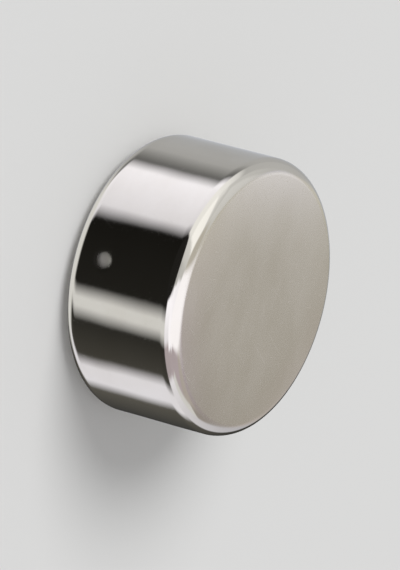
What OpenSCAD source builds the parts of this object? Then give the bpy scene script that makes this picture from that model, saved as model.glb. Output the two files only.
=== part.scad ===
// Disc magnet: a short solid cylinder with a flat pole face at each end. It
// stands on its lower pole face, with the origin at the centre of that face and
// +Z along the axis it is magnetised on.

/* [Disc] */
// Diameter over the plating
disc_d = 6; // [4:0.5:20]
// Thickness from pole face to pole face
disc_t = 3; // [1.5:0.5:10]

/* [Edges] */
// Radius of the tumbled edge round both pole faces
edge_r = 0.35; // [0.1:0.05:0.6]

/* [Hidden] */
$fn = 180;
// Bright nickel: a light grey with a little yellow in it
nickel = [0.74, 0.72, 0.68];
disc_r = disc_d / 2;
// Radius of the flat of a pole face, and height of the straight part of the wall
face_r = disc_r - edge_r;
wall_h = disc_t - 2 * edge_r;

// Half of the section, with the axis at x = 0. Two crossed rectangles leave the
// corners open, and a circle set in each of them rounds the edge.
module half_section() {
    square([face_r, disc_t]);
    translate([0, edge_r]) square([disc_r, wall_h]);
    for (z = [edge_r, disc_t - edge_r]) {
        translate([face_r, z]) circle(r = edge_r);
    }
}

// One sintered piece, with the plating as its skin.
module disc_magnet() {
    color(nickel) rotate_extrude() half_section();
}

disc_magnet();
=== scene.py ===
"""Looks for the disc magnet: bright nickel plating on a plain pale floor.

Sizes are in metres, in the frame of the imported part. The magnet lies on its lower
pole face with +Z along its axis. The camera looks from 32 degrees above the floor
and is rolled, so that the magnet seems to stand on its rim with a pole face turned
to the right, as it does in the photo.
"""

from math import cos, pi, radians, sin

import bpy
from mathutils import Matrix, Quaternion, Vector, noise


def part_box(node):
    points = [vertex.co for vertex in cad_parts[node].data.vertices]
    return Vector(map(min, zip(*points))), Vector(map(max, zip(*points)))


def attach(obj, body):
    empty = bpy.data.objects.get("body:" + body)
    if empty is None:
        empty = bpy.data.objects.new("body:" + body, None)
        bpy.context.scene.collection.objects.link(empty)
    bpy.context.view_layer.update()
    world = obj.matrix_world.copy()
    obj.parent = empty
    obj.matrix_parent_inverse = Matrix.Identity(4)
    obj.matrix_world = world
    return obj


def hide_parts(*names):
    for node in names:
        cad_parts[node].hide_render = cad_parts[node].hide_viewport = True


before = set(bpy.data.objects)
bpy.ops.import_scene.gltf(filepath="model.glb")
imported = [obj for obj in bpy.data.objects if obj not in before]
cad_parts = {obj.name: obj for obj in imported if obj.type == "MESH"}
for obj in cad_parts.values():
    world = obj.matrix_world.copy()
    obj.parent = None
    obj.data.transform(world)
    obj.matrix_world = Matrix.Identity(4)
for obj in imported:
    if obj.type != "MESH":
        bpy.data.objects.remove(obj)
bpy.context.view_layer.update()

MM = 0.001

# The magnet. Its outer size comes from the frame, rounded because the frame's solid has
# flat facets, and the edge radius is the part's own.
lowest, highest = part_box("disc_magnet")
THICKNESS = highest.z - lowest.z
RADIUS = round((highest.x - lowest.x) / 2, 5)
EDGE_R = 0.35 * MM

# How finely the lathe turns it: the steps round the axis and over an edge, their length
# up the wall and up the dent, and the steps out over a pole face
SEGMENTS = 640
EDGE_ROWS = 32
WALL_STEP = 0.06 * MM
DENT_STEP = 0.03 * MM
FACE_RINGS = 16

# A small dent in the wall: its height, its direction round the axis, and its size
DENT_HEIGHT = 0.93 * MM
DENT_ANGLE = radians(-90)
DENT_R = 0.29 * MM
DENT_DEPTH = 0.038 * MM
# How far its outline strays from a circle, as a share, and the length of a stray
DENT_RAGGEDNESS = 0.2
DENT_RAG_LENGTH = 0.3 * MM

# Tumbling lets a pole face fall away a little: the distance from its middle at which
# that begins, and the slope that it has reached where the edge begins
FALL_FROM = 0.4 * MM
FALL_SLOPE = radians(5)

# The plating follows slight waves that grinding left in the wall. Of the two layers of
# waves, the second is twice as fine as the first and half as high.
WAVE_HEIGHT = 0.0040 * MM
WAVE_LENGTH = 1.4 * MM
WAVE_FALL = 1.0
WAVE_FINER = 2.0
WAVE_LAYERS = 2

# Camera. The long side of its picture and its lens are in millimetres, as Blender has them.
CAMERA_DISTANCE = 150 * MM
CAMERA_ELEVATION = radians(32.1)
CAMERA_ROLL = radians(105)
CAMERA_SEES_FROM = 10 * MM
CAMERA_SEES_TO = 2000 * MM
FRAME_LONG_SIDE = 36.0
LENS = 450.0

# Colours, linear. GRAZING_TINT is how much of its white glare metal keeps at a low angle.
NICKEL = (0.65, 0.605, 0.52)
DULL_NICKEL = (0.62, 0.573, 0.486)
GRAZING_TINT = (0.84, 0.84, 0.84)
FLOOR = (0.70, 0.70, 0.695)


# ---------------------------------------------------------------- node helpers

def add(tree, kind, **settings):
    """A node of that kind. A name starting with in_ sets the input of that number."""
    node = tree.nodes.new(kind)
    for name, value in settings.items():
        if name.startswith("in_"):
            node.inputs[int(name[3:])].default_value = value
        else:
            setattr(node, name, value)
    return node


def link(tree, source, target):
    """Joins an output socket to an input socket."""
    tree.links.new(source, target)


def maths(tree, operation, first, second=None, clamp=False):
    """The result of a Math node on one or two values, each a socket or a number."""
    node = add(tree, "ShaderNodeMath", operation=operation, use_clamp=clamp)
    for slot, value in enumerate((first, second)):
        if isinstance(value, (int, float)):
            node.inputs[slot].default_value = value
        elif value is not None:
            link(tree, value, node.inputs[slot])
    return node.outputs[0]


def smooth_step(tree, value, low, high, to_low=0.0, to_high=1.0):
    """value eased from to_low at low to to_high at high."""
    node = add(tree, "ShaderNodeMapRange", interpolation_type="SMOOTHSTEP",
               in_1=low, in_2=high, in_3=to_low, in_4=to_high)
    link(tree, value, node.inputs[0])
    return node.outputs[0]


def dot(tree, direction, axis):
    """How far a direction goes along an axis."""
    node = add(tree, "ShaderNodeVectorMath", operation="DOT_PRODUCT", in_1=axis)
    link(tree, direction, node.inputs[0])
    return node.outputs["Value"]


def mix_colour(tree, factor, first, second):
    """first where factor is 0 and second where it is 1; each a socket or a colour."""
    node = add(tree, "ShaderNodeMix", data_type="RGBA")
    # A Mix node has an A and a B for each kind of value, and 6 and 7 are the colours
    for slot, value in ((0, factor), (6, first), (7, second)):
        if isinstance(value, float):
            node.inputs[slot].default_value = value
        elif isinstance(value, tuple):
            node.inputs[slot].default_value = (*value, 1.0)
        else:
            link(tree, value, node.inputs[slot])
    return node.outputs[2]


def mix_number(tree, factor, first, second):
    """The number first where factor is 0 and second where it is 1; all are sockets."""
    node = add(tree, "ShaderNodeMix", data_type="FLOAT")
    for slot, value in ((0, factor), (2, first), (3, second)):
        link(tree, value, node.inputs[slot])
    return node.outputs[0]


# ---------------------------------------------------------------- the magnet

def half_section():
    """(radius, height, zone) rows from beside the bottom centre to beside the top one.

    zone is 0 on the wall, 1 on a pole face, and in between round the edge. The rows of a
    face lie closer together towards its edge, where its slope grows fastest.
    """
    centre_r = RADIUS - EDGE_R
    join_r = centre_r + EDGE_R * sin(FALL_SLOPE)
    face = []
    for i in range(1, FACE_RINGS + 1):
        reach = join_r * (1 - (1 - i / FACE_RINGS) ** 2)
        share = max(0.0, reach - FALL_FROM) / (join_r - FALL_FROM)
        face.append((reach, FALL_SLOPE * (join_r - FALL_FROM) * share ** 3 / 3, 1.0))
    centre_h = face[-1][1] + EDGE_R * cos(FALL_SLOPE)
    for i in range(1, EDGE_ROWS + 1):
        turn = FALL_SLOPE + (pi / 2 - FALL_SLOPE) * i / EDGE_ROWS
        face.append((centre_r + EDGE_R * sin(turn), centre_h - EDGE_R * cos(turn), cos(turn)))
    wall = []
    height = centre_h + WALL_STEP
    while height < THICKNESS - centre_h - WALL_STEP / 2:
        wall.append((RADIUS, height, 0.0))
        height += DENT_STEP if abs(height - DENT_HEIGHT) < DENT_R + WALL_STEP else WALL_STEP
    upper = [(r, THICKNESS - h, z) for r, h, z in reversed(face)]
    return face + wall + upper


def wave(point):
    """Depth of the grinding waves at a point, always inwards."""
    waves = noise.fractal(point / WAVE_LENGTH, WAVE_FALL, WAVE_FINER, WAVE_LAYERS)
    return WAVE_HEIGHT * (1 + waves)


def dent(angle, height):
    """How deep into the small dent a place lies: 1 in its middle and 0 outside it."""
    across = RADIUS * (angle - DENT_ANGLE)
    up = height - DENT_HEIGHT
    ragged = 1 + DENT_RAGGEDNESS * noise.noise(Vector((across, up, 0)) / DENT_RAG_LENGTH)
    reach = (across ** 2 + up ** 2) ** 0.5 / (DENT_R * ragged)
    return (1 - reach ** 2) ** 2 if reach < 1 else 0.0


def turn_on_lathe(name, rows):
    """The rows turned round +Z into one closed mesh, with zone and dent kept on its points."""
    points = []
    zones = []
    dents = []
    for radius, height, zone in rows:
        for i in range(SEGMENTS):
            angle = -pi + 2 * pi * i / SEGMENTS
            place = Vector((radius * cos(angle), radius * sin(angle), height))
            dented = dent(angle, height)
            depth = (wave(place) + DENT_DEPTH * dented) * (1 - zone)
            scale = (radius - depth) / radius
            points.append((place.x * scale, place.y * scale, height))
            zones.append(zone)
            dents.append(dented)
    bottom = len(points)
    top = bottom + 1
    points += [(0, 0, 0), (0, 0, THICKNESS)]
    zones += [1.0, 1.0]
    dents += [0.0, 0.0]
    faces = []
    last = (len(rows) - 1) * SEGMENTS
    for i in range(SEGMENTS):
        j = (i + 1) % SEGMENTS
        faces.append((bottom, j, i))
        faces.append((top, last + i, last + j))
        for row in range(0, last, SEGMENTS):
            faces.append((row + i, row + j, row + SEGMENTS + j, row + SEGMENTS + i))
    mesh = bpy.data.meshes.new(name)
    mesh.from_pydata(points, [], faces)
    mesh.shade_smooth()
    mesh.attributes.new("zone", "FLOAT", "POINT").data.foreach_set("value", zones)
    mesh.attributes.new("dent", "FLOAT", "POINT").data.foreach_set("value", dents)
    mesh.update()
    piece = bpy.data.objects.new(name, mesh)
    bpy.context.scene.collection.objects.link(piece)
    return piece


# ---------------------------------------------------------------- nickel plating

# Features to a millimetre along X, Y and Z: faint clouds, grain and grinding marks
CLOUD_STRETCH = (0.6, 1.0, 1.0)
GRAIN_STRETCH = (13, 15, 15)
GRINDING_STRETCH = (0.5, 20, 20)
# The levels of the clouds at which the plating is at its dullest and its brightest
CLOUD_LEVELS = (0.3, 0.7)
# The zone in which the polish of the edge gives way to the satin of the pole face
SATIN_FROM = (0.88, 1.0)

# Directions that the hairline scratches run in, as turns about X, Y and Z
HAIR_TURNS = [(0.1, 0.2, 0.5), (0.2, -0.1, 1.3), (-0.2, 0.1, 2.2), (0.1, 0.1, 2.9),
              (1.2, 0.3, 0.9), (0.9, 0.8, 2.4)]
# Features to a millimetre across and along a scratch, and the levels of the noise at which
# a scratch begins to show and is at its deepest
HAIR_STRETCH = (34, 0.35, 34)
HAIR_LEVELS = (0.69, 0.80)

# Pores: the places to a millimetre where one may be, the levels of chance at which one
# begins to show and is at its largest, its largest radius and the width of its soft side
# as shares of such a place, and how dull it looks
PORE_PLACES = 1.5
PORE_LEVELS = (0.6, 1.0)
PORE_SIZE = 0.045
PORE_SIDE = 0.02
PORE_DULLNESS = 0.9

# Roughness of the wall and the faces, and what clouds, scratches, the dent and pores add
WALL_ROUGHNESS = 0.03
WALL_CLOUDS = 0.05
FACE_ROUGHNESS = 0.19
FACE_CLOUDS = 0.10
HAIR_ROUGHNESS = 0.10
DENT_ROUGHNESS = 0.5
PORE_ROUGHNESS = 0.2

# Relief in thousandths of a millimetre, and the share of the grain and the grinding marks
# that the wall has
GRAIN_HEIGHT = 0.26
GRINDING_HEIGHT = 0.12
HAIR_DEPTH = 0.12
PORE_DEPTH = 2.0
WALL_SHARE = 0.2


def noise_at(tree, place, detail, stretch, turn=(0, 0, 0)):
    """Noise with that many features to a millimetre along its own three axes."""
    turned = add(tree, "ShaderNodeVectorRotate", rotation_type="EULER_XYZ")
    turned.inputs["Rotation"].default_value = turn
    scaled = add(tree, "ShaderNodeVectorMath", operation="MULTIPLY")
    scaled.inputs[1].default_value = [s / MM for s in stretch]
    texture = add(tree, "ShaderNodeTexNoise")
    texture.inputs["Scale"].default_value = 1.0
    texture.inputs["Detail"].default_value = detail
    link(tree, place, turned.inputs["Vector"])
    link(tree, turned.outputs[0], scaled.inputs[0])
    link(tree, scaled.outputs[0], texture.inputs["Vector"])
    return texture.outputs["Fac"]


def hairlines(tree, place):
    """1 on the fine scratches that handling leaves, and 0 between them."""
    hairs = 0.0
    for turn in HAIR_TURNS:
        line = smooth_step(tree, noise_at(tree, place, 1.0, HAIR_STRETCH, turn), *HAIR_LEVELS)
        hairs = maths(tree, "MAXIMUM", hairs, line)
    return hairs


def pores(tree, place):
    """1 in the few tiny pores of the sintered metal, and 0 elsewhere."""
    cells = add(tree, "ShaderNodeTexVoronoi")
    cells.inputs["Scale"].default_value = PORE_PLACES / MM
    link(tree, place, cells.inputs["Vector"])
    chosen = add(tree, "ShaderNodeSeparateColor")
    link(tree, cells.outputs["Color"], chosen.inputs[0])
    size = maths(tree, "MULTIPLY",
                 smooth_step(tree, chosen.outputs[0], *PORE_LEVELS), PORE_SIZE)
    inside = maths(tree, "SUBTRACT", size, cells.outputs["Distance"])
    return smooth_step(tree, inside, 0.0, PORE_SIDE)


def weighted(tree, *parts):
    """The sum of (socket, weight) pairs."""
    total = maths(tree, "MULTIPLY", *parts[0])
    for value, weight in parts[1:]:
        total = maths(tree, "ADD", total, maths(tree, "MULTIPLY", value, weight))
    return total


def nickel_plating():
    """Bright nickel: a mirror on the wall and edges, softer and faintly cloudy on the faces."""
    material = bpy.data.materials.new("nickel_plating")
    material.use_nodes = True
    tree = material.node_tree
    shader = tree.nodes["Principled BSDF"]
    shader.inputs["Metallic"].default_value = 1.0
    shader.inputs["Specular Tint"].default_value = (*GRAZING_TINT, 1.0)
    place = add(tree, "ShaderNodeTexCoord").outputs["Object"]
    zone = add(tree, "ShaderNodeAttribute", attribute_name="zone").outputs["Fac"]
    dented = add(tree, "ShaderNodeAttribute", attribute_name="dent").outputs["Fac"]
    on_face = smooth_step(tree, zone, *SATIN_FROM)

    clouds = noise_at(tree, place, 4.0, CLOUD_STRETCH)
    grain = noise_at(tree, place, 3.0, GRAIN_STRETCH)
    grinding = noise_at(tree, place, 2.0, GRINDING_STRETCH)
    hairs = hairlines(tree, place)
    specks = maths(tree, "MULTIPLY", pores(tree, place), on_face)

    clean = maths(tree, "SUBTRACT", 1.0, maths(tree, "MULTIPLY", specks, PORE_DULLNESS))
    tone = maths(tree, "MULTIPLY", smooth_step(tree, clouds, *CLOUD_LEVELS), clean)
    link(tree, mix_colour(tree, tone, DULL_NICKEL, NICKEL), shader.inputs["Base Color"])

    wall = maths(tree, "ADD", maths(tree, "MULTIPLY", clouds, WALL_CLOUDS), WALL_ROUGHNESS)
    face = maths(tree, "ADD", maths(tree, "MULTIPLY", clouds, FACE_CLOUDS), FACE_ROUGHNESS)
    worn = weighted(tree, (hairs, HAIR_ROUGHNESS), (dented, DENT_ROUGHNESS),
                    (specks, PORE_ROUGHNESS))
    rough = maths(tree, "ADD", mix_number(tree, on_face, wall, face), worn)
    link(tree, rough, shader.inputs["Roughness"])

    ground = weighted(tree, (grain, GRAIN_HEIGHT), (grinding, GRINDING_HEIGHT))
    share = maths(tree, "ADD", maths(tree, "MULTIPLY", on_face, 1 - WALL_SHARE), WALL_SHARE)
    relief = maths(tree, "MULTIPLY", ground, share)
    relief = maths(tree, "SUBTRACT", relief,
                   weighted(tree, (hairs, HAIR_DEPTH), (specks, PORE_DEPTH)))
    bump = add(tree, "ShaderNodeBump")
    bump.inputs["Strength"].default_value = 1.0
    bump.inputs["Distance"].default_value = 0.001 * MM
    link(tree, relief, bump.inputs["Height"])
    link(tree, bump.outputs[0], shader.inputs["Normal"])
    return material


# ---------------------------------------------------------------- the studio

# The light of a card: daylight through a cloth, cloudy daylight, a plain dim card, and
# two that the coin and the room tinge slightly
DAY = (0.97, 1.0, 1.17)
CLOUD = (0.97, 1.01, 1.09)
DIM = (1.01, 1.005, 0.95)
MAUVE = (1.03, 0.94, 1.09)
ROSE = (1.02, 0.97, 0.985)
# What the plating mirrors: rings of cards round the magnet. The low ring takes the floor's
# place from near the magnet out to the horizon, and the others stand above it. Each card
# is where it ends, in degrees from -Y towards -X, how bright it is at its two ends, and
# its light. At the photo's angle the wall mirrors the low ring, the pole face the high
# one, and the edges all four.
LOW_RING = [(-121, 0.04, 0.14, DIM), (-91, 1.15, 1.12, DAY), (-49, 0.075, 0.035, DIM),
            (-29, 0.96, 0.96, CLOUD), (38, 0.020, 0.012, DIM), (90, 1.14, 1.45, DAY),
            (121, 0.18, 0.58, CLOUD), (180, 0.62, 0.64, CLOUD)]
MIDDLE_RING = [(-165, 0.62, 0.70, ROSE), (-81, 0.75, 1.15, DAY), (-52, 0.55, 0.58, MAUVE),
               (-19, 1.20, 1.54, DAY), (-9, 1.54, 1.10, DAY), (14, 0.42, 0.45, CLOUD),
               (34, 0.85, 1.00, CLOUD), (78, 1.28, 1.32, CLOUD), (92, 1.25, 1.20, CLOUD),
               (106, 1.10, 0.95, CLOUD), (164, 0.66, 0.70, CLOUD), (180, 0.85, 0.56, DIM)]
HIGH_RING = [(-170, 0.53, 0.48, DIM), (-135, 0.42, 0.44, ROSE), (-85, 0.95, 0.95, CLOUD),
             (-60, 0.60, 0.58, MAUVE), (-6, 1.54, 1.50, DAY), (14, 0.70, 0.72, CLOUD),
             (34, 0.88, 1.00, CLOUD), (78, 1.50, 1.50, CLOUD), (92, 1.15, 1.05, CLOUD),
             (152, 0.85, 0.72, CLOUD), (170, 0.72, 1.40, DAY), (176, 1.40, 0.85, DAY),
             (180, 0.80, 0.46, DIM)]
UPPER_RING = [(-150, 0.53, 0.50, MAUVE), (-118, 0.60, 0.58, ROSE), (-65, 0.60, 0.58, MAUVE),
              (-1, 1.54, 1.40, DAY), (14, 0.78, 0.80, CLOUD), (34, 0.90, 1.00, CLOUD),
              (78, 1.50, 1.46, CLOUD), (100, 1.00, 0.82, CLOUD), (158, 0.95, 0.90, CLOUD),
              (180, 0.66, 0.74, DIM)]
# Half the width of the soft side between two cards, in degrees, in each ring
RING_BLUR = (6.0, 3.0, 1.6, 3.0)
# The light of the floor close to the magnet, and of the ceiling
FLOOR_LIGHT = (1.00, 1.04, 1.11)
CEILING_LIGHT = (0.70, 0.695, 0.68)
# The heights, as sines of the angle above the horizon, between which each ring takes over
# from what is below it, and the ceiling from the upper ring
RING_FROM = [(-0.94, -0.78), (-0.06, 0.06), (0.38, 0.49), (0.57, 0.67)]
CEILING_FROM = (0.89, 0.95)
# A soft box overhead. Each side is the way it faces, in degrees from +X towards +Y, and
# how far it stands from straight up, as a slope. BOX_BLUR is how far its soft border
# reaches in, as a slope too, and BOX_FROM holds two heights like those above.
BOX_SIDES = [(180, 0.14), (32, 0.56), (90, 0.80), (-90, 0.95), (-125, 0.50)]
BOX_BLUR = 0.12
BOX_LIGHT = (1.47, 1.51, 1.73)
BOX_FROM = (0.5, 0.6)
# A round dark hood in front, half above the horizon: the direction of its middle, and the
# cosines of the angles from there to the outer and the inner side of its soft rim
HOOD = (-0.156, -0.988, 0.0)
HOOD_RIM = (0.886, 0.914)
HOOD_LIGHT = (0.02, 0.02, 0.02)

# Even light from all round
ROOM = (0.55, 0.55, 0.55)
# What the camera sees past the floor, as pale as the lit floor
BACKDROP = (0.69, 0.69, 0.685)
# One broad lamp that gives the soft shadow
LAMP_DIRECTION = (-0.62, -0.34, 0.71)
LAMP_STRENGTH = 2.0
LAMP_ANGLE = radians(35)

# Half the floor's width, and how matt it is
FLOOR_REACH = 600 * MM
FLOOR_ROUGHNESS = 0.9


def card_ring(tree, around, cards, blur):
    """A ring of cards as a colour ramp; around runs from 0 to 1 round the magnet."""
    marks = []
    start = -180
    for end, first, last, light in cards:
        marks += [(start + blur, [first * c for c in light]),
                  (end - blur, [last * c for c in light])]
        start = end
    seam = [(a + b) / 2 for a, b in zip(marks[0][1], marks[-1][1])]
    marks = [(-180, seam), *marks, (180, seam)]
    ramp = add(tree, "ShaderNodeValToRGB")
    # A new ramp has two stops
    stops = ramp.color_ramp.elements
    for _ in range(len(marks) - 2):
        stops.new(0.5)
    for stop, (angle, colour) in zip(stops, marks):
        stop.position = angle / 360 + 0.5
        stop.color = (*colour, 1.0)
    link(tree, around, ramp.inputs[0])
    return ramp.outputs[0]


def soft_box(tree, direction, z):
    """1 where a direction meets the soft box overhead, and 0 elsewhere."""
    inside = smooth_step(tree, z, *BOX_FROM)
    for facing, reach in BOX_SIDES:
        axis = (cos(radians(facing)), sin(radians(facing)), 0)
        slope = maths(tree, "DIVIDE", dot(tree, direction, axis), z)
        within = smooth_step(tree, slope, reach - BOX_BLUR, reach, 1.0, 0.0)
        inside = maths(tree, "MULTIPLY", inside, within)
    return inside


def studio():
    """The world. Only mirror-like reflections see the cards; the rest is even and pale."""
    world = bpy.data.worlds.new("studio")
    bpy.context.scene.world = world
    world.use_nodes = True
    tree = world.node_tree
    tree.nodes.clear()

    direction = add(tree, "ShaderNodeTexCoord").outputs["Generated"]
    split = add(tree, "ShaderNodeSeparateXYZ")
    link(tree, direction, split.inputs[0])
    x, y, z = split.outputs
    angle = maths(tree, "ARCTAN2", maths(tree, "MULTIPLY", x, -1.0),
                  maths(tree, "MULTIPLY", y, -1.0))
    around = maths(tree, "ADD", maths(tree, "DIVIDE", angle, 2 * pi), 0.5)
    mirrored = FLOOR_LIGHT
    rings = (LOW_RING, MIDDLE_RING, HIGH_RING, UPPER_RING)
    for heights, cards, blur in zip(RING_FROM, rings, RING_BLUR):
        mirrored = mix_colour(tree, smooth_step(tree, z, *heights), mirrored,
                              card_ring(tree, around, cards, blur))
    mirrored = mix_colour(tree, smooth_step(tree, z, *CEILING_FROM), mirrored, CEILING_LIGHT)
    mirrored = mix_colour(tree, soft_box(tree, direction, z), mirrored, BOX_LIGHT)
    hood = smooth_step(tree, dot(tree, direction, HOOD), *HOOD_RIM)
    mirrored = mix_colour(tree, hood, mirrored, HOOD_LIGHT)

    path = add(tree, "ShaderNodeLightPath").outputs
    seen = mix_colour(tree, path["Is Camera Ray"], ROOM, BACKDROP)
    light = add(tree, "ShaderNodeBackground")
    link(tree, mix_colour(tree, path["Is Glossy Ray"], seen, mirrored), light.inputs["Color"])
    link(tree, light.outputs[0], add(tree, "ShaderNodeOutputWorld").inputs["Surface"])


def lamp():
    """A broad soft lamp. It lights the floor, and the plating mirrors the cards instead."""
    data = bpy.data.lights.new("soft_lamp", "SUN")
    data.energy = LAMP_STRENGTH
    data.angle = LAMP_ANGLE
    obj = bpy.data.objects.new("soft_lamp", data)
    obj.rotation_mode = "QUATERNION"
    obj.rotation_quaternion = Vector(LAMP_DIRECTION).to_track_quat("Z", "Y")
    obj.visible_glossy = False
    bpy.context.scene.collection.objects.link(obj)


def floor():
    """A plain pale floor that keeps the shadow. The plating mirrors the cards instead."""
    mesh = bpy.data.meshes.new("floor")
    r = FLOOR_REACH
    mesh.from_pydata([(-r, -r, 0), (r, -r, 0), (r, r, 0), (-r, r, 0)], [], [(0, 1, 2, 3)])
    obj = bpy.data.objects.new("floor", mesh)
    material = bpy.data.materials.new("pale_floor")
    material.use_nodes = True
    shader = material.node_tree.nodes["Principled BSDF"]
    shader.inputs["Base Color"].default_value = (*FLOOR, 1)
    shader.inputs["Roughness"].default_value = FLOOR_ROUGHNESS
    shader.inputs["Specular IOR Level"].default_value = 0.0
    mesh.materials.append(material)
    obj.visible_glossy = False
    bpy.context.scene.collection.objects.link(obj)


def camera():
    """Looks at the middle of the magnet from in front and above, rolled on its own axis."""
    data = bpy.data.cameras.new("camera")
    data.sensor_width = FRAME_LONG_SIDE
    data.lens = LENS
    data.clip_start = CAMERA_SEES_FROM
    data.clip_end = CAMERA_SEES_TO
    obj = bpy.data.objects.new("camera", data)
    back = Vector((0, -cos(CAMERA_ELEVATION), sin(CAMERA_ELEVATION)))
    obj.location = Vector((0, 0, THICKNESS / 2)) + back * CAMERA_DISTANCE
    obj.rotation_mode = "QUATERNION"
    obj.rotation_quaternion = back.to_track_quat("Z", "Y") @ Quaternion((0, 0, 1), CAMERA_ROLL)
    bpy.context.scene.collection.objects.link(obj)
    bpy.context.scene.camera = obj


camera()
magnet = turn_on_lathe("magnet", half_section())
magnet.data.materials.append(nickel_plating())
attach(magnet, "root")
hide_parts("disc_magnet")
studio()
lamp()
floor()
bpy.context.scene.view_settings.view_transform = "Standard"
